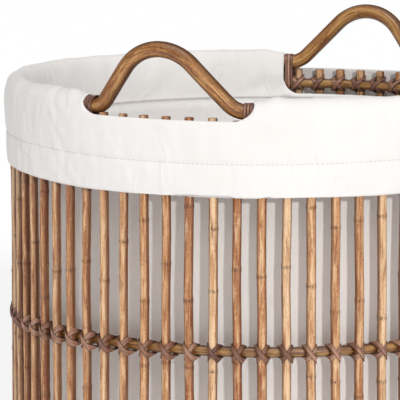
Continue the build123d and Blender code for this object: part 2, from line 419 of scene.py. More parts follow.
def markRing(bm, verts, stop, tone, offset):
    matrix, size, distance, jointMask = stop
    grain = bm.verts.layers.float_vector["grain"]
    joint = bm.verts.layers.float["joint"]
    toneLayer = bm.verts.layers.float["tone"]
    edgeShadeLayer = bm.verts.layers.float["edge"]
    back = matrix.inverted()
    for vert in verts:
        local = back @ vert.co
        vert[grain] = Vector((local.x, local.y, distance)) + offset
        vert[joint] = jointMask
        vert[toneLayer] = tone
        # the across share, 0 on the middle line and rising to the sides, sets where the painted shade on cane
        # flanks and strip edges falls, and keeps the worn speckles off the flanks
        vert[edgeShadeLayer] = 2 * abs(local.y) / size[1]


def farRing(step):
    verts = [part for part in step["geom"] if isinstance(part, bmesh.types.BMVert)]
    fresh = set(verts)
    edges = [part for part in step["geom"] if isinstance(part, bmesh.types.BMEdge)]
    return verts, [edge for edge in edges if edge.verts[0] in fresh and edge.verts[1] in fresh]


def sweepRing(bm, verts, edges, stops, closed, tone, offset):
    # a first ring of vertices is drawn along stops: (matrix, (width, height), distance, joint mask)
    first = edges
    held = None
    for stop in stops:
        reach = stop[0] @ Matrix.Diagonal((stop[1][0], stop[1][1], 1, 1))
        if held:
            verts, edges = farRing(bmesh.ops.extrude_edge_only(bm, edges=edges))
            bmesh.ops.transform(bm, matrix=reach @ held.inverted(), verts=verts)
        markRing(bm, verts, stop, tone, offset)
        held = reach
    if closed:
        bmesh.ops.bridge_loops(bm, edges=first + edges)
        return
    for ring in (first, edges):
        for edge in ring:
            edge.smooth = False
        bmesh.ops.edgeloop_fill(bm, edges=ring)


def sweepRod(bm, stops, sides, closed, tone, offset):
    matrix, size = stops[0][0], stops[0][1]
    start = matrix @ Matrix.Diagonal((size[0], size[1], 1, 1))
    verts = bmesh.ops.create_circle(bm, segments=sides, radius=1.0, matrix=start)["verts"]
    edges = list({edge for vert in verts for edge in vert.link_edges})
    sweepRing(bm, verts, edges, stops, closed, tone, offset)


def sweepStrip(bm, stops, closed, tone, offset):
    # a flat strip with six corners in section, thinning out to its two edges
    matrix, size = stops[0][0], stops[0][1]
    verts = bmesh.ops.create_circle(bm, segments=6, radius=0.5)["verts"]
    for vert in verts:
        if abs(vert.co.y) < 0.4:
            vert.co.x = math.copysign(0.5, vert.co.x)
            vert.co.y = math.copysign(0.35, vert.co.y)
    bmesh.ops.transform(bm, matrix=matrix @ Matrix.Diagonal((size[0], size[1], 1, 1)), verts=verts)
    edges = list({edge for vert in verts for edge in vert.link_edges})
    sweepRing(bm, verts, edges, stops, closed, tone, offset)


def finishMesh(bm, name, material, smooth=True):
    bmesh.ops.recalc_face_normals(bm, faces=bm.faces)
    for face in bm.faces:
        face.smooth = smooth
    mesh = bpy.data.meshes.new(name)
    bm.to_mesh(mesh)
    bm.free()
    mesh.materials.append(material)
    piece = bpy.data.objects.new(name, mesh)
    bpy.context.scene.collection.objects.link(piece)
    return piece


def settle(piece, body, slotName, *nodes):
    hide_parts(*nodes)
    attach(piece, body)


def jointSpread(rng, length, spacing):
    # heights of the cane's natural joints, unevenly spaced
    found = []
    at = rng.uniform(0.25, 1.0) * spacing
    while at < length - 4 * mm:
        found.append(at)
        at += spacing * rng.uniform(0.72, 1.3)
    return found


def jointShape(distance, joints):
    # (swelling of the radius, dark mask) at a distance along the cane
    if not joints:
        return 0.0, 0.0
    gap = min((distance - at for at in joints), key=abs) / mm
    swell = 0.07 * math.exp(-((gap / 2.6) ** 2)) - 0.03 * math.exp(-(((gap - 5.5) / 2.5) ** 2))
    return swell, 0.8 * math.exp(-((gap / 1.5) ** 2))


def ringStations(length, joints, spacing):
    close = (-5, -2.6, -1.4, -0.6, 0, 0.6, 1.4, 2.6, 5)
    near = [at + step * mm for at in joints for step in close]
    count = max(2, round(length / spacing))
    spread = [index * length / count for index in range(count + 1)]
    far = [at for at in spread if all(abs(at - other) > 1.1 * mm for other in near)]
    return sorted([at for at in near if 1.5 * mm < at < length - 1.5 * mm] + far)


# stakes

stakes = {
    "sides": 12, "spacing": 22 * mm, "jointSpacing": 78 * mm, "bend": 0.55 * mm, "ripple": 0.3 * mm,
    "thickness": (0.93, 1.05), "endRound": 0.5 * mm, "notchRise": 2.2 * mm, "notchHalf": 15, "held": 60 * mm,
    "seed": 41,
}


def stakeStops(rng, angle):
    # in the front notch the stakes stand a little higher than beside it, where the rim pole lies on them
    turn = (math.degrees(angle) + 180) % 360 - 180
    length = place["stakeTop"] + (stakes["notchRise"] if abs(turn) < stakes["notchHalf"] else 0)
    joints = jointSpread(rng, length, stakes["jointSpacing"])
    size = place["stakeRadius"] * rng.uniform(*stakes["thickness"])
    phases = [rng.uniform(0, 2 * math.pi) for _ in range(4)]
    inside = ringStations(length, joints, stakes["spacing"])
    stations = sorted({0.0, stakes["endRound"], *inside[1:-1], length - stakes["endRound"], length})
    stops = []
    for at in stations:
        # a stake is straight where a hoop holds it, and wanders a little between hoops
        hold = min(1.0, min(abs(at - height) for height in hoopHeight.values()) / stakes["held"])
        sideways = stakes["bend"] * hold * math.sin(at * 17 + phases[0])
        sideways += stakes["ripple"] * hold * math.sin(at * 41 + phases[1])
        outward = 0.6 * stakes["bend"] * hold * math.sin(at * 23 + phases[2])
        swell, mask = jointShape(at, joints)
        radius = size * (1 + swell + 0.012 * math.sin(at * 60 + phases[3]))
        if at in (0.0, length):
            radius *= 0.9
        centre = onCircle(angle, place["stakeCircle"] + outward, at)
        centre += Vector((math.cos(angle), math.sin(angle), 0)) * sideways
        outwards = onCircle(angle, 1, 0)
        stops.append((frameAt(centre, Vector((0, 0, 1)), outwards), (radius, radius), at, mask))
    return stops


def makeStakes():
    rng = random.Random(stakes["seed"])
    pairs = place["stakeCount"] // 2
    for pair in range(pairs):
        bm = newCaneMesh()
        for index in (2 * pair, 2 * pair + 1):
            tone = rng.betavariate(1.5, 1.7)
            offset = Vector((rng.uniform(-1, 1), rng.uniform(-1, 1), rng.uniform(-9, 9)))
            sweepRod(bm, stakeStops(rng, stakeAngle(index)), stakes["sides"], False, tone, offset)
        piece = finishMesh(bm, f"rattanStakes{pair + 1:02d}", paint["rattanStake"])
        settle(piece, "basket", "rattan_stake", f"stakes_{pair + 1:02d}")


makeStakes()
print("stakes made:", place["stakeCount"])


# hoops and the base

hoops = {"sides": 16, "steps": 210, "jointSpacing": 190 * mm, "waver": 0.25 * mm, "seed": 7}


def makeHoop(name, node, circle, height, seed):
    rng = random.Random(seed)
    length = 2 * math.pi * circle
    joints = jointSpread(rng, length, hoops["jointSpacing"])
    phase = rng.uniform(0, 6)
    stops = []
    for at in ringStations(length, joints, length / hoops["steps"])[:-1]:
        angle = at / circle
        swell, mask = jointShape(at, joints)
        radius = place["hoopRadius"] * (0.985 + 0.4 * max(0.0, swell))
        centre = onCircle(angle, circle, height + hoops["waver"] * math.sin(5 * angle + phase))
        along = Vector((math.cos(angle), math.sin(angle), 0))
        stops.append((frameAt(centre, along, onCircle(angle, 1, 0)), (radius, radius), at, mask * 0.7))
    bm = newCaneMesh()
    sweepRod(bm, stops, hoops["sides"], True, rng.uniform(0.35, 0.65), Vector((seed, 0, 0)))
    settle(finishMesh(bm, name, paint["rattanHoop"]), "basket", "rattan_hoop", node)


def makeHoops():
    for number, (level, height) in enumerate(hoopHeight.items()):
        makeHoop(level + "Hoop", level + "_hoop", place["hoopCircle"], height, hoops["seed"] + number)
    makeHoop("baseRing", "base_ring", place["ringCircle"], hoopHeight["bottom"], hoops["seed"] + 9)


base = {
    "rodPitch": 24 * mm, "rodCount": 19, "rodEnd": 229 * mm, "rodSides": 12, "rodJoints": 85 * mm,
    "barOffset": 70 * mm, "barSides": 14, "barJoints": 150 * mm, "spacing": 26 * mm, "seed": 23,
}


def straightRod(bm, rng, start, end, radius, sides, jointSpacing):
    up = Vector((0, 0, 1))
    along = end - start
    length = along.length
    joints = jointSpread(rng, length, jointSpacing)
    stops = []
    inside = ringStations(length, joints, base["spacing"])
    for at in sorted({0.0, 0.5 * mm, *inside[1:-1], length - 0.5 * mm, length}):
        swell, mask = jointShape(at, joints)
        wide = radius * (0.97 + swell) * (0.9 if at in (0.0, length) else 1.0)
        stops.append((frameAt(start + along * (at / length), along, up), (wide, wide), at, mask))
    offset = Vector((rng.uniform(-1, 1), rng.uniform(-1, 1), rng.uniform(-9, 9)))
    sweepRod(bm, stops, sides, False, rng.betavariate(2, 2), offset)


def rodOffsets():
    return [(index - (base["rodCount"] - 1) / 2) * base["rodPitch"] for index in range(base["rodCount"])]


def rodHalf(offset):
    return math.sqrt(base["rodEnd"] ** 2 - (abs(offset) + place["stakeRadius"]) ** 2)


def makeBase():
    rng = random.Random(base["seed"])
    bm = newCaneMesh()
    for offset in rodOffsets():
        half = rodHalf(offset)
        start = Vector((offset, -half, place["rodHeight"]))
        end = Vector((offset, half, place["rodHeight"]))
        straightRod(bm, rng, start, end, place["stakeRadius"], base["rodSides"], base["rodJoints"])
    settle(finishMesh(bm, "baseRods", paint["rattanStake"]), "basket", "rattan_stake", "base_rods")
    bm = newCaneMesh()
    inner = place["ringCircle"] - place["hoopRadius"]
    for side in (-1, 1):
        half = math.sqrt(inner ** 2 - (base["barOffset"] + place["hoopRadius"]) ** 2)
        start = Vector((-half, side * base["barOffset"], hoopHeight["bottom"]))
        end = Vector((half, side * base["barOffset"], hoopHeight["bottom"]))
        straightRod(bm, rng, start, end, place["hoopRadius"], base["barSides"], base["barJoints"])
    settle(finishMesh(bm, "baseBars", paint["rattanHoop"]), "basket", "rattan_hoop", "base_bearers")


makeHoops()
makeBase()
print("hoops and base made")


# rim poles with their handles

handle = {
    "leftRun": 68.2 * mm, "leftSlope": 53, "leftBend": 14 * mm,
    "rightRun": 88 * mm, "rightSlope": 46, "rightBend": 24 * mm,
    "crownBend": 44 * mm, "apexAcross": -2 * mm, "apexRise": 78.5 * mm, "footStraight": 2 * mm,
    "sides": 24, "step": 3.5 * mm, "scarf": 40 * mm, "flatten": 0.03, "seed": 15,
    "joints": (0.12, 0.345, 0.64, 0.86),    # shares of the pole's length
}


def footCorner(hand):
    lead = handle[hand + "Bend"] * math.tan(math.radians(handle[hand + "Slope"] / 2))
    return handle[hand + "Run"] - handle["footStraight"] - lead


def archCorners():
    # the arch unrolled: (distance round the rim, height above the rim), before its corners are rounded
    quarter = place["poleCircle"] * math.pi / 2 + handle["scarf"] / 2
    left, right = footCorner("left"), footCorner("right")
    apex = (handle["apexAcross"], handle["apexRise"])
    corners = [(-quarter, 0), (-left, 0), apex, (right, 0), (quarter, 0)]
    return [Vector(corner) for corner in corners]


def bendPoints(before, here, after, radius):
    back, on = (before - here).normalized(), (after - here).normalized()
    half = back.angle(on) / 2
    centre = here + (back + on).normalized() * (radius / math.sin(half))
    first = here + back * (radius / math.tan(half)) - centre
    turn = first.angle_signed(here + on * (radius / math.tan(half)) - centre)
    count = max(3, math.ceil(abs(turn) * radius / handle["step"]))
    return [centre + Matrix.Rotation(-turn * index / count, 2) @ first for index in range(count + 1)]


def archPoints():
    corners = archCorners()
    bends = (handle["leftBend"], handle["crownBend"], handle["rightBend"])
    key = [corners[0]]
    for before, here, after, radius in zip(corners, corners[1:], corners[2:], bends):
        key += bendPoints(before, here, after, radius)
    key.append(corners[-1])
    points = []
    for first, second in zip(key, key[1:]):
        count = max(1, round((second - first).length / (handle["step"] * 1.5)))
        points += [first.lerp(second, index / count) for index in range(count)]
    return points + [key[-1]]


def polePoint(middleAngle, across, rise):
    circle = place["poleCircle"]
    return onCircle(middleAngle + across / circle, circle, place["poleHeight"] + rise)


def makePole(name, node, middleAngle, seed):
    rng = random.Random(seed)
    flatPoints = archPoints()
    points = [polePoint(middleAngle, *point) for point in flatPoints]
    total = sum((second - first).length for first, second in zip(points, points[1:]))
    joints = [total * share for share in handle["joints"]]
    travelled = 0.0
    stops = []
    for index, point in enumerate(points):
        before, after = points[max(index - 1, 0)], points[min(index + 1, len(points) - 1)]
        travelled += (point - before).length
        swell, mask = jointShape(travelled, joints)
        radius = place["poleRadius"] * (0.985 + 0.4 * swell + 0.012 * math.sin(travelled * 40 + seed))
        fromEnd = min(travelled, total - travelled)
        thin = min(1.0, 0.35 + 0.65 * fromEnd / handle["scarf"])
        outward = onCircle(middleAngle + flatPoints[index].x / place["poleCircle"], 1, 0)
        matrix = frameAt(point, after - before, outward)
        lift = (1 - thin) * place["poleRadius"] * (-1 if seed % 2 else 1)
        matrix.translation += Vector((0, 0, lift))
        stops.append((matrix, (radius * (1 - handle["flatten"]), radius * thin), travelled, mask * 0.5))
    bm = newCaneMesh()
    sweepRod(bm, stops, handle["sides"], False, rng.uniform(0.4, 0.55), Vector((seed, 2, 0)))
    settle(finishMesh(bm, name, paint["rattanPole"]), "basket", "rattan_pole", node)


makePole("rimPoleFront", "rim_pole_front", 0, handle["seed"])
makePole("rimPoleBack", "rim_pole_back", math.pi, handle["seed"] + 1)
print("rim poles made")


# ties and lashings

tie = {
    "slope": 50, "alongStake": 6.7 * mm, "alongHoop": 5.6 * mm, "width": 3.9 * mm, "thick": 1.0 * mm,
    "directions": 18, "slack": 0.1 * mm, "overlap": 0.8 * mm, "seed": 88,
}


def hullPath(rods, directions, slack):
    # points round the outside of a few rods seen end on: each rod is (across, up, half width, half height)
    found = []
    for index in range(directions):
        angle = 2 * math.pi * (index + 0.5) / directions
        c, s = math.cos(angle), math.sin(angle)
        best = None
        for across, up, wide, high in rods:
            length = math.hypot(wide * c, high * s)
            support = across * c + up * s + length
            if best is None or support > best[0]:
                best = (support, across + wide ** 2 * c / length, up + high ** 2 * s / length)
        found.append((best[1] + slack * c, best[2] + slack * s, c, s))
    return found


def stripLoop(bm, path, axes, width, thick, tone, offset, slant=0.0, widths=None):
    # axes: (origin, direction across, direction up, direction of the strip's width)
    # widths: the strip's width as a vector at the foot and at the head of the loop, where they differ
    origin, across, up, side = axes
    points = [origin + across * a + up * u for a, u, _, _ in path]
    heights = [u for _, u, _, _ in path]
    low, high = min(heights), max(heights)
    points = [point + side * slant * ((u - low) / (high - low) - 0.5) for point, u in zip(points, heights)]
    stops = []
    travelled = 0.0
    for index, point in enumerate(points):
        ahead = points[(index + 1) % len(points)]
        behind = points[index - 1]
        outward = across * path[index][2] + up * path[index][3]
        matrix = frameAt(point, ahead - behind, outward)
        if widths:
            share = smoothStep(0.30, 0.62, (heights[index] - low) / (high - low))
            broad = widths[0].lerp(widths[1], share) / width
            if broad.dot(matrix.col[1].to_3d()) < 0:
                broad = -broad
            matrix.col[1] = (*broad, 0)
        # local X is outward, local Y lies across the strip
        stops.append((matrix, (thick, width), travelled, 0.0))
        travelled += (ahead - point).length
    sweepStrip(bm, stops, True, tone, offset)


def finishStrips(bm):
    # on a strip the grain's first axis runs across its width
    grain = bm.verts.layers.float_vector["grain"]
    for vert in bm.verts:
        vert[grain] = Vector((vert[grain].y, vert[grain].x, vert[grain].z))
    bmesh.ops.recalc_face_normals(bm, faces=bm.faces)


def crossTie():
    # at the origin: a hoop along X, a stake along Y that lies on it, towards +Z
    slope = math.radians(tie["slope"])
    lift = place["stakeCircle"] - place["hoopCircle"]
    bm = newCaneMesh()
    for number, turn in enumerate((slope, -slope)):
        slack = tie["slack"] + tie["thick"] / 2 + number * tie["overlap"]
        rods = [
            (0, 0, place["hoopRadius"] / math.sin(slope), place["hoopRadius"]),
            (0, lift, place["stakeRadius"] / math.cos(slope), place["stakeRadius"]),
        ]
        across = Vector((math.cos(turn), math.sin(turn), 0))
        side = Vector((-math.sin(turn), math.cos(turn), 0))
        axes = (Vector(), across, Vector((0, 0, 1)), side)
        path = hullPath(rods, tie["directions"], slack)
        widths = (Vector((-math.copysign(tie["alongHoop"], turn), 0, 0)), Vector((0, tie["alongStake"], 0)))
        stripLoop(bm, path, axes, tie["width"], tie["thick"], 0.5, Vector(), 0.0, widths)
    finishStrips(bm)
    mesh = bpy.data.meshes.new("crossTiePattern")
    bm.to_mesh(mesh)
    bm.free()
    return mesh


def scatterTies(name, node, pattern, places, seed):
    rng = random.Random(seed)
    bm = bmesh.new()
    for matrix in places:
        known = len(bm.verts)
        bm.from_mesh(pattern)
        bm.verts.ensure_lookup_table()
        fresh = bm.verts[known:]
        wobble = Matrix.Rotation(math.radians(rng.uniform(-4, 4)), 4, "Z")
        size = Matrix.Scale(rng.uniform(0.985, 1.015), 4)
        bmesh.ops.transform(bm, matrix=matrix @ wobble @ size, verts=fresh)
        toneLayer = bm.verts.layers.float["tone"]
        grain = bm.verts.layers.float_vector["grain"]
        tone = rng.betavariate(1.6, 1.8)
        shift = Vector((0, rng.uniform(-1, 1), rng.uniform(-9, 9)))
        for vert in fresh:
            vert[toneLayer] = tone
            vert[grain] = vert[grain] + shift
    piece = finishMesh(bm, name, paint["binding"], smooth=False)
    settle(piece, "basket", "cane_binding", node)


def makeCrossTies():
    pattern = crossTie()
    stand = Matrix.Rotation(math.radians(90), 4, "X")
    for number, level in enumerate(hoopHeight):
        places = []
        for index in range(place["stakeCount"]):
            angle = stakeAngle(index)
            turn = Matrix.Rotation(angle, 4, "Z")
            centre = onCircle(angle, place["hoopCircle"], hoopHeight[level])
            places.append(Matrix.Translation(centre) @ turn @ stand)
        scatterTies(level + "HoopTies", level + "_hoop_ties", pattern, places, tie["seed"] + number)
    places = []
    for side in (-1, 1):
        for offset in rodOffsets():
            if rodHalf(offset) > base["barOffset"] + base["rodPitch"]:
                places.append(Matrix.Translation((offset, side * base["barOffset"], hoopHeight["bottom"])))
    scatterTies("baseBarTies", "base_bearer_ties", pattern, places, tie["seed"] + 5)
    bpy.data.meshes.remove(pattern)


def makeRodEndTies():
    rng = random.Random(tie["seed"] + 9)
    bm = newCaneMesh()
    lift = place["rodHeight"] - hoopHeight["bottom"]
    for offset in rodOffsets():
        opening = (math.pi / 2 - math.asin(abs(offset) / place["ringCircle"])) / 2
        half = place["hoopRadius"] / math.cos(opening) + 0.5 * tie["width"] * math.tan(opening)
        for end in (-1, 1):
            along = end * math.sqrt(place["ringCircle"] ** 2 - offset ** 2)
            turn = math.copysign(1, offset) * math.atan2(along, abs(offset) + place["ringCircle"])
            across = Vector((math.cos(turn), math.sin(turn), 0))
            side = Vector((-math.sin(turn), math.cos(turn), 0))
            rods = [(0, 0, half, place["hoopRadius"]), (0, lift, half, place["stakeRadius"])]
            axes = (Vector((offset, along, hoopHeight["bottom"])), across, Vector((0, 0, 1)), side)
            path = hullPath(rods, tie["directions"], tie["slack"] + tie["thick"] / 2)
            shift = Vector((0, rng.uniform(-1, 1), rng.uniform(-9, 9)))
            stripLoop(bm, path, axes, tie["width"], tie["thick"], rng.random(), shift)
    finishStrips(bm)
    piece = finishMesh(bm, "baseRodTies", paint["binding"], smooth=False)
    settle(piece, "basket", "cane_binding", "base_rod_ties")


lashing = {
    "leftAngle": -15.9, "rightAngle": 20.1, "width": 2.7 * mm, "thick": 0.8 * mm, "slack": 0.25 * mm,
    "directions": 26, "roundDirections": 20,
    "jointGaps": (-1.5, -0.5, 0.5, 1.5), "jointPitch": 3.7 * mm,
    "jointWidth": 3.4 * mm, "jointSlant": 1.2 * mm,
    "ringSteps": (7, 13, 22, 28), "ringWidth": 3.0 * mm, "ringSeed": 5,
}
footTurns = {
    # (place along the rim, slant from the hoop to the pole, extra slack), in mm
    # away from the arch is positive
    "left": ((-1.8, 3.6, 0.0), (1.4, 3.2, 0.0), (4.4, 2.2, 0.1), (0.6, -5.0, 0.8)),
    "right": ((-2.4, 0.9, 0.0), (0.6, 0.6, 0.0), (3.5, 0.3, 0.1)),
}


def uprightAxes(angle, along):
    turned = angle + along / place["poleCircle"]
    side = Vector((math.cos(turned), math.sin(turned), 0))
    return Vector(), onCircle(turned, 1, 0), Vector((0, 0, 1)), side


def makeFootLashings():
    rods = [
        (place["hoopCircle"], hoopHeight["top"], place["hoopRadius"], place["hoopRadius"]),
        (place["poleCircle"], place["poleHeight"], place["poleRadius"], place["poleRadius"]),
    ]
    for end, middle in (("front", 0), ("back", math.pi)):
        for hand, sign in (("left", -1), ("right", 1)):
            rng = random.Random(f"{end}{hand}")
            bm = newCaneMesh()
            angle = middle + math.radians(lashing[hand + "Angle"])
            for along, slant, extra in footTurns[hand]:
                axes = uprightAxes(angle, sign * along * mm)
                slack = lashing["slack"] + lashing["thick"] / 2 + extra * mm
                path = hullPath(rods, lashing["directions"], slack)
                shift = Vector((0, rng.uniform(-1, 1), rng.uniform(-9, 9)))
                tone = rng.betavariate(2, 2)
                stripLoop(bm, path, axes, lashing["width"], lashing["thick"], tone, shift, sign * slant * mm)
            finishStrips(bm)
            name = f"footLashing{end.title()}{hand.title()}"
            piece = finishMesh(bm, name, paint["binding"], smooth=False)
            settle(piece, "basket", "cane_binding", f"handle_lashing_{end}_{hand}")


def makeJointLashings():
    rods = [(place["poleCircle"], place["poleHeight"], place["poleRadius"], place["poleRadius"])]
    path = hullPath(rods, lashing["roundDirections"], lashing["slack"] + lashing["thick"] / 2)
    for hand, angle in (("left", -math.pi / 2), ("right", math.pi / 2)):
        rng = random.Random(hand)
        bm = newCaneMesh()
        for gap in lashing["jointGaps"]:
            for turn in (-1, 0, 1):
                axes = uprightAxes(angle + gap * stakeStep, turn * lashing["jointPitch"])
                shift = Vector((0, rng.uniform(-1, 1), rng.uniform(-9, 9)))
                width, thick = lashing["jointWidth"], lashing["thick"]
                stripLoop(bm, path, axes, width, thick, rng.random(), shift, lashing["jointSlant"])
        finishStrips(bm)
        piece = finishMesh(bm, "rimLashing" + hand.title(), paint["binding"], smooth=False)
        settle(piece, "basket", "cane_binding", "rim_joint_lashing_" + hand)


def makeRingLashings():
    rng = random.Random(lashing["ringSeed"])
    height, half = hoopHeight["bottom"], place["hoopRadius"]
    rods = [(place["ringCircle"], height, half, half), (place["hoopCircle"], height, half, half)]
    path = hullPath(rods, lashing["roundDirections"], lashing["slack"] + lashing["thick"] / 2)
    bm = newCaneMesh()
    for step in lashing["ringSteps"]:
        for sign in (-1, 1):
            axes = uprightAxes(sign * step * stakeStep, 0)
            shift = Vector((0, rng.uniform(-1, 1), rng.uniform(-9, 9)))
            stripLoop(bm, path, axes, lashing["ringWidth"], lashing["thick"], rng.random(), shift)
    finishStrips(bm)
    piece = finishMesh(bm, "baseRingLashings", paint["binding"], smooth=False)
    settle(piece, "basket", "cane_binding", "base_ring_lashings")


makeCrossTies()
makeRodEndTies()
makeFootLashings()
makeJointLashings()
makeRingLashings()
print("ties and lashings made")


# liner

liner = {
    "thick": 1.0 * mm, "columns": 288, "floor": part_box("liner_base")[0].z, "seam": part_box("liner_wall")[1].z,
    "wallRows": 30, "topRadius": 230 * mm, "footRadius": 224 * mm, "corner": 12 * mm, "foldDepth": 3.2 * mm,
    "floorSides": 96, "floorRings": 10, "floorWave": 1.2 * mm,
}


def folds(angle, share):
    # soft hanging folds, deeper low down; share is 0 at the seam and 1 at the floor
    slow = noise.noise(Vector((math.sin(angle) * 2.6, math.cos(angle) * 2.6, 3.0 + share * 0.5)))
    quick = noise.noise(Vector((math.sin(angle) * 7.0, math.cos(angle) * 7.0, 9.0 + share * 0.9)))
    return slow * (0.25 + 0.75 * share) + 0.5 * quick * (0.15 + 0.85 * share)


def wallPoint(angle, share):
    # share 0 is the seam, 1 is where the wall turns into the floor
    height = liner["seam"] + (liner["floor"] + liner["thick"] - liner["seam"]) * share
    radius = liner["topRadius"] + (liner["footRadius"] - liner["topRadius"]) * share
    held = smoothStep(0.0, 0.08, share) * (1 - smoothStep(0.96, 1.0, share))
    radius += liner["foldDepth"] * folds(angle, share) * held
    above = height - liner["floor"]
    if above < liner["corner"]:
        radius -= liner["corner"] - math.sqrt(max(0.0, liner["corner"] ** 2 - (liner["corner"] - above) ** 2))
    return onCircle(angle, radius, height)


def clothGrid(name, columns, rows, pointAt, flatAt):
    # a flat grid of cloth bent round into a closed wall, with its flat place kept as a UV map
    bm = bmesh.new()
    bmesh.ops.create_grid(bm, x_segments=columns, y_segments=rows, size=0.5)
    flat = bm.loops.layers.uv.new("cloth")
    shares = {vert: (vert.co.x + 0.5, vert.co.y + 0.5) for vert in bm.verts}
    for face in bm.faces:
        face.smooth = True
        for loop in face.loops:
            loop[flat].uv = flatAt(*shares[loop.vert])
    for vert, (u, v) in shares.items():
        vert.co = pointAt(u, v)
    bmesh.ops.remove_doubles(bm, verts=bm.verts, dist=0.01 * mm)
    bmesh.ops.recalc_face_normals(bm, faces=bm.faces)
    mesh = bpy.data.meshes.new(name)
    bm.to_mesh(mesh)
    bm.free()
    mesh.materials.append(paint["cotton"])
    piece = bpy.data.objects.new(name, mesh)
    bpy.context.scene.collection.objects.link(piece)
    return piece


def thicken(piece, thick):
    solid = piece.modifiers.new("clothThickness", "SOLIDIFY")
    solid.thickness = thick
    solid.offset = 0.0


def makeWall():
    length = 2 * math.pi * liner["topRadius"]
    height = liner["seam"] - liner["floor"]
    piece = clothGrid(
        "linerWall", liner["columns"], liner["wallRows"],
        lambda u, v: wallPoint(2 * math.pi * u, 1 - v),
        lambda u, v: (u * length, v * height),
    )
    thicken(piece, liner["thick"])
    settle(piece, "liner", "cotton_cloth", "liner_wall")


def makeFloorPanel():
    edge = liner["footRadius"] - liner["corner"]
    bm = bmesh.new()
    bmesh.ops.create_circle(bm, cap_ends=True, cap_tris=False, segments=liner["floorSides"], radius=edge)
    for _ in range(liner["floorRings"] - 1):
        wide = [face for face in bm.faces if len(face.verts) > 4]
        bmesh.ops.inset_region(bm, faces=wide, thickness=edge / liner["floorRings"], use_even_offset=True)
    flat = bm.loops.layers.uv.new("cloth")
    for face in bm.faces:
        face.smooth = True
        for loop in face.loops:
            loop[flat].uv = (loop.vert.co.x, loop.vert.co.y)
    for vert in bm.verts:
        away = math.hypot(vert.co.x, vert.co.y) / edge
        wave = noise.noise(Vector((vert.co.x * 14, vert.co.y * 14, 5.0)))
        vert.co.z = liner["floor"] + liner["thick"] + liner["floorWave"] * (0.5 + wave) * (1 - away ** 6)
    piece = finishMesh(bm, "linerFloor", paint["cotton"])
    thicken(piece, liner["thick"])
    settle(piece, "liner", "cotton_cloth", "liner_base")


collar = {
    "notchLeft": -17.5, "notchRight": 21.5, "innerLip": 413 * mm, "outerLip": 437.6 * mm, "hemLine": 400 * mm,
    "crest": 457.5 * mm, "crestRadius": 247.5 * mm, "turnHeight": 440 * mm,
    "thick": 1.6 * mm, "rowLength": 4.6 * mm, "columnStep": 1.1, "hang": (-0.02, 0.045), "wrinkle": 1.05 * mm,
    "sink": 3 * mm, "cornerReach": 13 * mm, "cornerPasses": 14,
}
collarProfile = (
    # (radius, height) in mm of the cloth's middle, from the seam over the rim to the cuff's edge
    (229.4, 408.5), (230.6, 413.0), (231.6, 424.0), (234.0, 438.0), (237.6, 449.0), (242.0, 455.3),
    (247.5, 457.6), (253.4, 455.2), (257.6, 449.0), (259.3, 436.0), (258.9, 420.0), (258.0, 402.0),
    (257.8, 398.0), (257.5, 386.0), (256.9, 377.0), (255.9, 371.0), (255.2, 368.6),
)


def profileCurve():
    # the outline as an even run of points, with its length so far
    spline = bpy.data.curves.new("collarOutline", "CURVE")
    spline.dimensions = "3D"
    line = spline.splines.new("NURBS")
    line.points.add(len(collarProfile) - 1)
    for point, (radius, height) in zip(line.points, collarProfile):
        point.co = (radius * mm, 0, height * mm, 1)
    line.order_u = 3
    line.use_endpoint_u = True
    line.resolution_u = 12
    holder = bpy.data.objects.new("collarOutline", spline)
    mesh = bpy.data.meshes.new_from_object(holder)
    points = [vert.co.copy() for vert in mesh.vertices]
    bpy.data.objects.remove(holder)
    bpy.data.curves.remove(spline)
    bpy.data.meshes.remove(mesh)
    lengths = [0.0]
    for first, second in zip(points, points[1:]):
        lengths.append(lengths[-1] + (second - first).length)
    return points, lengths


outline, outlineLength = profileCurve()


def outlineAt(distance):
    for index in range(1, len(outline)):
        if outlineLength[index] >= distance:
            span = outlineLength[index] - outlineLength[index - 1]
            share = (distance - outlineLength[index - 1]) / span if span > 0 else 0
            return outline[index - 1].lerp(outline[index], share)
    return outline[-1]


def distanceOf(height, outside):
    # how far along the outline a height lies, on the cuff's side of the crest or on the wall's side
    crest = max(range(len(outline)), key=lambda index: outline[index].z)
    order = range(crest, len(outline)) if outside else range(crest, -1, -1)
    return outlineLength[min(order, key=lambda index: abs(outline[index].z - height))]


crestDistance = distanceOf(collar["crest"], True)
hemDistance = distanceOf(collar["hemLine"], True)


def notchGap(angle):
    # degrees outside the nearer notch; negative inside it
    turn = (math.degrees(angle) + 90) % 180 - 90
    return max(turn - collar["notchRight"], collar["notchLeft"] - turn)


def uneven(angle, distance):
    # the cuff hangs lower at the front and back than at the sides
    if distance <= crestDistance:
        return distance
    stretch = 1 + collar["hang"][0] + collar["hang"][1] * math.cos(2 * (angle - math.radians(15)))
    return crestDistance + (distance - crestDistance) * stretch


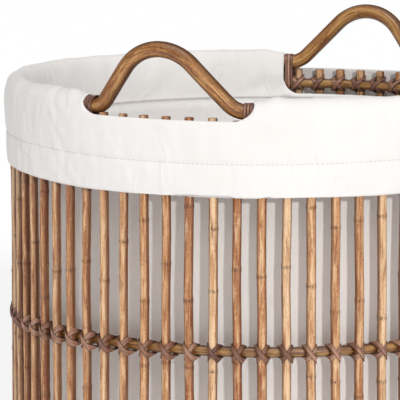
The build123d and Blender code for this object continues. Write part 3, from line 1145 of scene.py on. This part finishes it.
def wrinkles(angle, distance):
    # puckers of the folded collar, in metres outwards
    total = outlineLength[-1]
    around = Vector((math.sin(angle), math.cos(angle), 0))
    slow = noise.noise(around * 3.5 + Vector((0, 0, distance * 9)))
    mid = noise.noise(around * 13 + Vector((0, 0, distance * 30 + 4)))
    fine = noise.noise(around * 30 + Vector((0, 0, distance * 42 + 8)))
    groove = max(0.0, 0.12 - abs(mid)) / 0.12
    swell = 0.9 * slow + 0.85 * mid + 0.45 * fine - 0.7 * groove * max(0.0, slow + 0.3)
    height = swell * collar["wrinkle"]
    # short creases run slantwise away from the notches
    gap = notchGap(angle)
    if gap > 0:
        fade = math.exp(-((gap / 9.0) ** 2))
        slant = gap * 0.55 + distance * 150
        height += 2.2 * mm * fade * math.sin(slant) * noise.noise(Vector((gap * 0.2, distance * 30, 2)))
    # the stitched line pulls the cloth in
    height -= 0.9 * mm * math.exp(-(((distance - hemDistance) / (2.2 * mm)) ** 2))
    # the hem puckers between its stitches
    below = smoothStep(hemDistance, hemDistance + 6 * mm, distance)
    height += 0.35 * mm * below * noise.noise(around * 46 + Vector((0, 0, distance * 60)))
    ends = smoothStep(0, 12 * mm, distance) * smoothStep(0, 5 * mm, total - distance + 2 * mm)
    return height * ends


def collarPoint(angle, distance):
    reach = uneven(angle, distance)
    here = outlineAt(reach)
    ahead, behind = outlineAt(reach + 1 * mm), outlineAt(reach - 1 * mm)
    along = (ahead - behind).normalized()
    outward = Vector((along.z, 0, -along.x))
    middle = Vector((collar["crestRadius"], 0, collar["turnHeight"]))
    if here.z <= middle.z:
        outward = Vector((1, 0, 0)) * (1 if here.x > middle.x else -1)
    elif outward.dot(here - middle) < 0:
        outward = -outward
    push = wrinkles(angle, distance)
    # beside a notch the roll over the rim sinks a little
    sink = collar["sink"] * math.exp(-((notchGap(angle) / 3.0) ** 2)) * smoothStep(435 * mm, 457 * mm, here.z)
    return onCircle(angle, here.x + outward.x * push, here.z + outward.z * push - sink)


def evenSteps(low, high, step):
    count = max(1, round((high - low) / step))
    return [low + index * (high - low) / count for index in range(count + 1)]


def collarLines():
    # column angles and row distances, with lines exactly on the notches' edges
    left, right = math.radians(collar["notchLeft"]), math.radians(collar["notchRight"])
    step = math.radians(collar["columnStep"])
    columns = []
    start = -math.pi / 2
    marks = [start, left, right, math.pi + left, math.pi + right, start + 2 * math.pi]
    for low, high in zip(marks, marks[1:]):
        columns += evenSteps(low, high, step)[:-1]
    inner = distanceOf(collar["innerLip"], False)
    outer = distanceOf(collar["outerLip"], True)
    rows = []
    marks = [0.0, inner, outer, outlineLength[-1]]
    for low, high in zip(marks, marks[1:]):
        rows += evenSteps(low, high, collar["rowLength"])[:-1]
    return columns, rows + [outlineLength[-1]], inner, outer


def roundCorners(bm, lips):
    # the notches' corners are relaxed until they are round
    sides = [math.radians(collar[edge]) for edge in ("notchLeft", "notchRight")]
    sides += [side + math.pi for side in sides]
    near = []
    for vert in bm.verts:
        across = min(abs(vert.co.x - side) for side in sides) * place["poleCircle"]
        down = min(abs(vert.co.y - lip) for lip in lips)
        if math.hypot(across, down) < collar["cornerReach"]:
            near.append(vert)
    partners = {}
    for vert in near:
        edges = [edge for edge in vert.link_edges if edge.is_boundary or not vert.is_boundary]
        partners[vert] = [edge.other_vert(vert) for edge in edges]
    for _ in range(collar["cornerPasses"]):
        goals = {}
        for vert, others in partners.items():
            goals[vert] = sum((other.co for other in others), Vector()) / len(others)
        for vert, goal in goals.items():
            vert.co = vert.co.lerp(goal, 0.6)


def makeCollar():
    columns, rows, inner, outer = collarLines()
    bm = bmesh.new()
    bmesh.ops.create_grid(bm, x_segments=len(columns), y_segments=len(rows) - 1, size=0.5)
    flat = bm.loops.layers.uv.new("cloth")
    angles = columns + [columns[0] + 2 * math.pi]
    whole = {}
    for vert in bm.verts:
        column = round((vert.co.x + 0.5) * len(columns))
        row = round((vert.co.y + 0.5) * (len(rows) - 1))
        whole[vert] = (angles[column], rows[row])
    girth = place["poleCircle"]
    cut = []
    for face in bm.faces:
        face.smooth = True
        middleAngle = sum(whole[vert][0] for vert in face.verts) / len(face.verts)
        middleRow = sum(whole[vert][1] for vert in face.verts) / len(face.verts)
        if notchGap(middleAngle) < 0 and inner < middleRow < outer:
            cut.append(face)
        for loop in face.loops:
            angle, distance = whole[loop.vert]
            loop[flat].uv = (angle * girth, distance)
    for vert, (angle, distance) in whole.items():
        vert.co = Vector((angle, distance, 0))
    bmesh.ops.delete(bm, geom=cut, context="FACES")
    roundCorners(bm, (inner, outer))
    mesh = bpy.data.meshes.new("collarFlat")
    bm.to_mesh(mesh)
    bm.free()
    # the flat cloth is made finer first, which rounds the notches' corners, and then wrapped round the rim
    holder = bpy.data.objects.new("collarFlat", mesh)
    bpy.context.scene.collection.objects.link(holder)
    smooth = holder.modifiers.new("finer", "SUBSURF")
    smooth.subdivision_type = "CATMULL_CLARK"
    smooth.levels = 1
    smooth.render_levels = 1
    smooth.boundary_smooth = "PRESERVE_CORNERS"
    flatMesh = bpy.data.meshes.new_from_object(holder.evaluated_get(bpy.context.evaluated_depsgraph_get()))
    bpy.data.objects.remove(holder)
    bm = bmesh.new()
    bm.from_mesh(flatMesh)
    bpy.data.meshes.remove(flatMesh)
    for vert in bm.verts:
        vert.co = collarPoint(vert.co.x, vert.co.y)
    bmesh.ops.remove_doubles(bm, verts=bm.verts, dist=0.02 * mm)
    bmesh.ops.recalc_face_normals(bm, faces=bm.faces)
    for face in bm.faces:
        face.smooth = True
    final = bpy.data.meshes.new("linerCollar")
    bm.to_mesh(final)
    bm.free()
    final.materials.append(paint["cotton"])
    piece = bpy.data.objects.new("linerCollar", final)
    bpy.context.scene.collection.objects.link(piece)
    thicken(piece, collar["thick"])
    settle(piece, "liner", "cotton_cloth", "liner_collar")
    return piece


stitch = {"pitch": 4.4 * mm, "length": 2.9 * mm, "width": 0.75 * mm, "thick": 0.5 * mm, "proud": 0.15 * mm}


def makeStitches():
    count = round(2 * math.pi * place["stakeCircle"] / stitch["pitch"])
    lift = collar["thick"] / 2 + stitch["proud"]
    bm = bmesh.new()
    for index in range(count):
        angle = 2 * math.pi * index / count
        here = collarPoint(angle, hemDistance)
        outward = onCircle(angle, 1, 0)
        along = Vector((math.cos(angle), math.sin(angle), 0))
        matrix = frameAt(here + outward * lift, along, outward)
        size = Matrix.Diagonal((stitch["thick"], stitch["width"], stitch["length"], 1))
        made = bmesh.ops.create_cube(bm, size=1.0, matrix=matrix @ size)["verts"]
        ends = [vert for vert in made if (vert.co - here).dot(outward) > lift]
        bmesh.ops.scale(bm, vec=(0.9, 0.9, 0.9), verts=ends, space=Matrix.Translation(-here))
    piece = finishMesh(bm, "hemStitches", paint["thread"])
    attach(piece, "liner")
    return piece


collarPiece = makeCollar()
stitches = makeStitches()
makeWall()
makeFloorPanel()
print("liner made")
